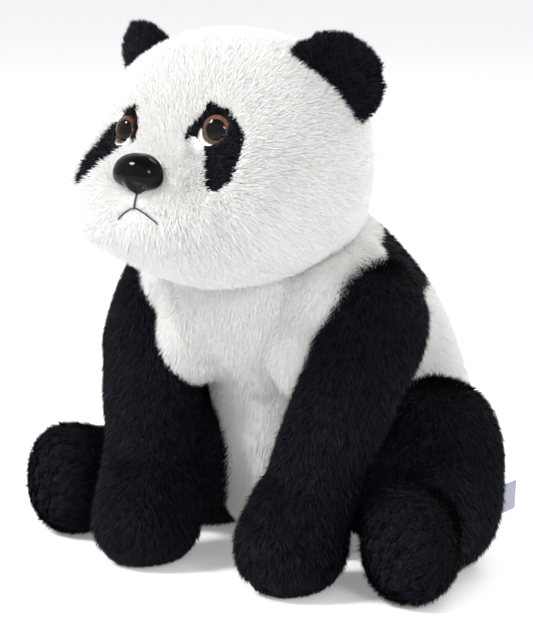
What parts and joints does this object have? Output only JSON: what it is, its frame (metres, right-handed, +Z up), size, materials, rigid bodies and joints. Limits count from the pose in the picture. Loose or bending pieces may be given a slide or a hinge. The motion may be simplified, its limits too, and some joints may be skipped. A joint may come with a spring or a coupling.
{
  "type": "plush panda",
  "caption": "Sitting plush panda with a stuffed head, body, arms and legs that swing at their seams, plastic eyes and nose, and soft round ears.",
  "frame": {"origin": "on the ground at the middle of the flat seat", "axes": "+Z up, the panda faces -Y, +X is the panda's own left side"},
  "size_m": [0.303, 0.2849, 0.313],
  "materials": {
    "white_plush": "white knitted-back plush with a soft pile about 9 mm long",
    "black_plush": "black plush pile with a cool sparkle along the tufts",
    "short_black_pile": "short dense black pile",
    "polyester_filling": "loose white polyester fibre",
    "pellet_bag_cloth": "woven inner bag of plastic pellets",
    "clear_acrylic": "clear polished plastic dome",
    "brown_eye_back": "brown moulded plastic with its shank",
    "black_gloss_plastic": "polished black moulded plastic",
    "washer_plastic": "white moulded plastic lock washer",
    "grey_thread": "dark embroidery thread",
    "white_thread": "strong white sewing thread",
    "label_satin": "printed-side-in satin ribbon"
  },
  "bodies": {
    "torso": {"chest_panel": "white_plush", "back_panel": "white_plush", "shoulder_yoke": "black_plush", "torso_stuffing": "polyester_filling", "pellet_bag": "pellet_bag_cloth", "closing_stitches": "white_thread", "tail": "white_plush"},
    "head": {"head_cover": "white_plush", "head_stuffing": "polyester_filling", "left_eye_patch": "short_black_pile", "right_eye_patch": "short_black_pile", "left_eye_lens": "clear_acrylic", "right_eye_lens": "clear_acrylic", "left_eye_pupil": "black_gloss_plastic", "right_eye_pupil": "black_gloss_plastic", "left_eye_iris": "brown_eye_back", "right_eye_iris": "brown_eye_back", "left_eye_washer": "washer_plastic", "right_eye_washer": "washer_plastic", "nose": "black_gloss_plastic", "nose_washer": "washer_plastic", "mouth_stitches": "grey_thread"},
    "left_ear": {"left_ear_front": "black_plush", "left_ear_back": "black_plush"},
    "right_ear": {"right_ear_front": "black_plush", "right_ear_back": "black_plush"},
    "left_arm": {"left_arm_cover": "black_plush", "left_arm_stuffing": "polyester_filling", "left_paw_pad": "short_black_pile"},
    "right_arm": {"right_arm_cover": "black_plush", "right_arm_stuffing": "polyester_filling", "right_paw_pad": "short_black_pile"},
    "left_leg": {"left_leg_cover": "black_plush", "left_leg_stuffing": "polyester_filling", "left_foot_sole": "short_black_pile", "care_label": "label_satin"},
    "right_leg": {"right_leg_cover": "black_plush", "right_leg_stuffing": "polyester_filling", "right_foot_sole": "short_black_pile"}
  },
  "joints": [
    {"name": "neck_twist", "type": "hinge", "parent": "torso", "child": "head", "pos_m": [0, -0.082, 0.19], "axis": [0, -0.6691, 0.7431], "range_deg": [-18, 18]},
    {"name": "left_ear_fold", "type": "hinge", "parent": "head", "child": "left_ear", "pos_m": [0.061, -0.096, 0.277], "axis": [0.7574, 0.4067, -0.5108], "range_deg": [-15, 15]},
    {"name": "right_ear_fold", "type": "hinge", "parent": "head", "child": "right_ear", "pos_m": [-0.061, -0.096, 0.277], "axis": [0.7574, -0.4067, 0.5108], "range_deg": [-15, 15]},
    {"name": "left_shoulder", "type": "hinge", "parent": "torso", "child": "left_arm", "pos_m": [0.056, -0.07, 0.15], "axis": [-1, 0, 0], "range_deg": [0, 40]},
    {"name": "right_shoulder", "type": "hinge", "parent": "torso", "child": "right_arm", "pos_m": [-0.056, -0.07, 0.15], "axis": [-1, 0, 0], "range_deg": [0, 40]},
    {"name": "left_hip", "type": "hinge", "parent": "torso", "child": "left_leg", "pos_m": [0.083, -0.023, 0.055], "axis": [0, 0, 1], "range_deg": [0, 22]},
    {"name": "right_hip", "type": "hinge", "parent": "torso", "child": "right_leg", "pos_m": [-0.083, -0.023, 0.055], "axis": [0, 0, -1], "range_deg": [0, 22]}
  ]
}
